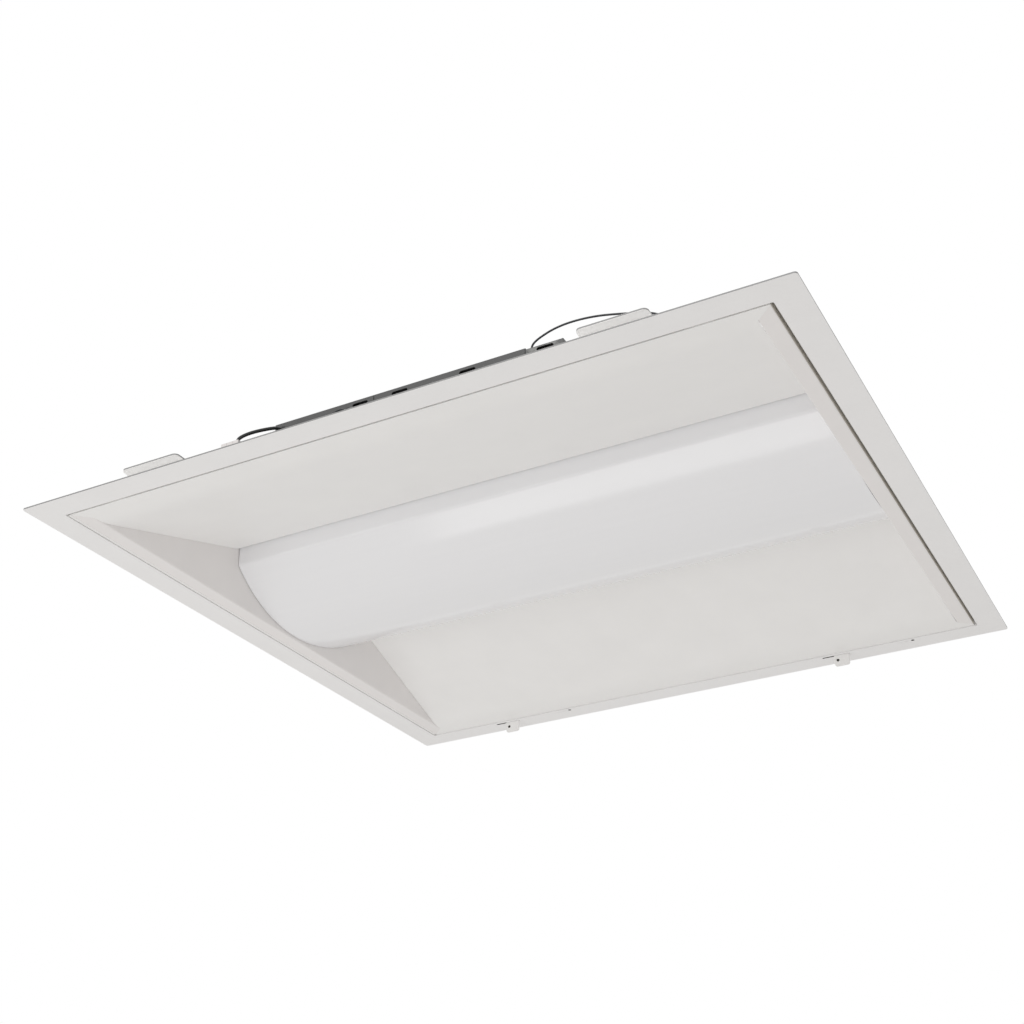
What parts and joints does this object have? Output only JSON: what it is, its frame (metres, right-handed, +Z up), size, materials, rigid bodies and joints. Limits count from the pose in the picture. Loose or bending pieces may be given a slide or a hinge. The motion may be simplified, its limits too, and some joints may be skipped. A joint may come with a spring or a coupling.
{
  "type": "recessed troffer light",
  "caption": "Square recessed troffer light: flanged white trim frame, hinged door with sloped reflectors and a curved frosted diffuser, swing clamps and a driver box behind.",
  "frame": {"origin": "centre of the ceiling cut-out, in the plane where the flange's back meets the ceiling", "axes": "+Z up into the ceiling void, +X along the diffuser, +Y from the hinge side to the latch side"},
  "size_m": [0.64, 0.64, 0.0791],
  "materials": {
    "white_powder_coat": "smooth satin white powder coat on steel sheet",
    "galvanised_steel": "galvanised steel sheet with a faint spangle",
    "dark_box_steel": "dark grey coated steel sheet",
    "zinc_plated_steel": "bright zinc-plated steel",
    "spring_steel": "plain spring steel strip",
    "frosted_diffuser": "frosted opal acrylic sheet",
    "white_board": "white solder mask on an aluminium board",
    "led_package": "white package with yellow phosphor",
    "driver_case": "white moulded polycarbonate",
    "terminal_plastic": "white moulded polyamide",
    "connector_plastic": "grey moulded polyamide",
    "black_pvc": "black PVC sheath",
    "grommet_rubber": "black moulded rubber"
  },
  "bodies": {
    "fixture": {"board_screws": "zinc_plated_steel", "box_grommets": "grommet_rubber", "clamp_bracket_1": "zinc_plated_steel", "clamp_bracket_2": "zinc_plated_steel", "clamp_bracket_3": "zinc_plated_steel", "clamp_bracket_4": "zinc_plated_steel", "driver_box_base": "galvanised_steel", "driver_box_cover_left": "dark_box_steel", "driver_box_cover_right": "dark_box_steel", "driver_box_end_cover": "galvanised_steel", "driver_shelf": "galvanised_steel", "earth_bracket": "galvanised_steel", "earth_lead": "black_pvc", "earth_terminal": "zinc_plated_steel", "far_bridge": "galvanised_steel", "hinge_arm_left": "white_powder_coat", "hinge_arm_right": "white_powder_coat", "hinge_pins": "zinc_plated_steel", "housing_channel": "galvanised_steel", "housing_end_left": "galvanised_steel", "housing_end_right": "galvanised_steel", "inlet_bracket": "galvanised_steel", "inlet_connector": "connector_plastic", "latch_studs": "zinc_plated_steel", "led_board_1": "white_board", "led_board_2": "white_board", "led_board_3": "white_board", "led_chips": "led_package", "led_driver": "driver_case", "led_lead": "black_pvc", "led_tray": "white_powder_coat", "mains_cable": "black_pvc", "pan_screws": "zinc_plated_steel", "terminal_block": "terminal_plastic", "trim_frame": "white_powder_coat"},
    "door": {"near_reflector": "white_powder_coat", "far_reflector": "white_powder_coat", "end_panel_left": "white_powder_coat", "end_panel_right": "white_powder_coat", "lens": "frosted_diffuser", "lens_clips": "spring_steel", "door_gussets": "white_powder_coat", "gusset_rivets": "zinc_plated_steel", "hinge_ear_left": "white_powder_coat", "hinge_ear_right": "white_powder_coat"},
    "latch_1": {"latch_slider_1": "white_powder_coat"},
    "latch_2": {"latch_slider_2": "white_powder_coat"},
    "clamp_1_screw": {"clamp_screw_1": "zinc_plated_steel"},
    "clamp_1_nut": {"clamp_nut_1": "zinc_plated_steel"},
    "clamp_1_wing": {"clamp_wing_1": "white_powder_coat"},
    "clamp_2_screw": {"clamp_screw_2": "zinc_plated_steel"},
    "clamp_2_nut": {"clamp_nut_2": "zinc_plated_steel"},
    "clamp_2_wing": {"clamp_wing_2": "white_powder_coat"},
    "clamp_3_screw": {"clamp_screw_3": "zinc_plated_steel"},
    "clamp_3_nut": {"clamp_nut_3": "zinc_plated_steel"},
    "clamp_3_wing": {"clamp_wing_3": "white_powder_coat"},
    "clamp_4_screw": {"clamp_screw_4": "zinc_plated_steel"},
    "clamp_4_nut": {"clamp_nut_4": "zinc_plated_steel"},
    "clamp_4_wing": {"clamp_wing_4": "white_powder_coat"}
  },
  "joints": [
    {"name": "door_hinge", "type": "hinge", "parent": "fixture", "child": "door", "pos_m": [0, -0.29, 0.0038], "axis": [-1, 0, 0], "range_deg": [0, 90]},
    {"name": "latch_1_slide", "type": "slide", "parent": "fixture", "child": "latch_1", "axis": [1, 0, 0], "range_m": [-0.011, 0]},
    {"name": "latch_2_slide", "type": "slide", "parent": "fixture", "child": "latch_2", "axis": [1, 0, 0], "range_m": [-0.011, 0]},
    {"name": "clamp_1_turn", "type": "hinge", "parent": "fixture", "child": "clamp_1_screw", "pos_m": [-0.1955, -0.277, 0.0093], "axis": [0, 0, 1], "range_deg": [-4114.8, 1029.1]},
    {"name": "clamp_1_lift", "type": "slide", "parent": "fixture", "child": "clamp_1_nut", "axis": [0, 0, 1], "range_m": [-0.002, 0.008]},
    {"name": "clamp_1_swing", "type": "hinge", "parent": "clamp_1_nut", "child": "clamp_1_wing", "pos_m": [-0.1955, -0.277, 0.014], "axis": [0, 0, -1], "range_deg": [0, 90]},
    {"name": "clamp_2_turn", "type": "hinge", "parent": "fixture", "child": "clamp_2_screw", "pos_m": [0.1955, -0.277, 0.0093], "axis": [0, 0, 1], "range_deg": [-4114.8, 1029.1]},
    {"name": "clamp_2_lift", "type": "slide", "parent": "fixture", "child": "clamp_2_nut", "axis": [0, 0, 1], "range_m": [-0.002, 0.008]},
    {"name": "clamp_2_swing", "type": "hinge", "parent": "clamp_2_nut", "child": "clamp_2_wing", "pos_m": [0.1955, -0.277, 0.014], "axis": [0, 0, -1], "range_deg": [0, 90]},
    {"name": "clamp_3_turn", "type": "hinge", "parent": "fixture", "child": "clamp_3_screw", "pos_m": [-0.255, 0.277, 0.0093], "axis": [0, 0, 1], "range_deg": [-4114.8, 1029.1]},
    {"name": "clamp_3_lift", "type": "slide", "parent": "fixture", "child": "clamp_3_nut", "axis": [0, 0, 1], "range_m": [-0.002, 0.008]},
    {"name": "clamp_3_swing", "type": "hinge", "parent": "clamp_3_nut", "child": "clamp_3_wing", "pos_m": [-0.255, 0.277, 0.014], "axis": [0, 0, -1], "range_deg": [0, 90]},
    {"name": "clamp_4_turn", "type": "hinge", "parent": "fixture", "child": "clamp_4_screw", "pos_m": [0.255, 0.277, 0.0093], "axis": [0, 0, 1], "range_deg": [-4114.8, 1029.1]},
    {"name": "clamp_4_lift", "type": "slide", "parent": "fixture", "child": "clamp_4_nut", "axis": [0, 0, 1], "range_m": [-0.002, 0.008]},
    {"name": "clamp_4_swing", "type": "hinge", "parent": "clamp_4_nut", "child": "clamp_4_wing", "pos_m": [0.255, 0.277, 0.014], "axis": [0, 0, -1], "range_deg": [0, 90]}
  ],
  "couplings": [
    {"joint": "clamp_1_turn", "follows": "clamp_1_lift", "rad_per_m": -8976},
    {"joint": "clamp_2_turn", "follows": "clamp_2_lift", "rad_per_m": -8976},
    {"joint": "clamp_3_turn", "follows": "clamp_3_lift", "rad_per_m": -8976},
    {"joint": "clamp_4_turn", "follows": "clamp_4_lift", "rad_per_m": -8976}
  ]
}
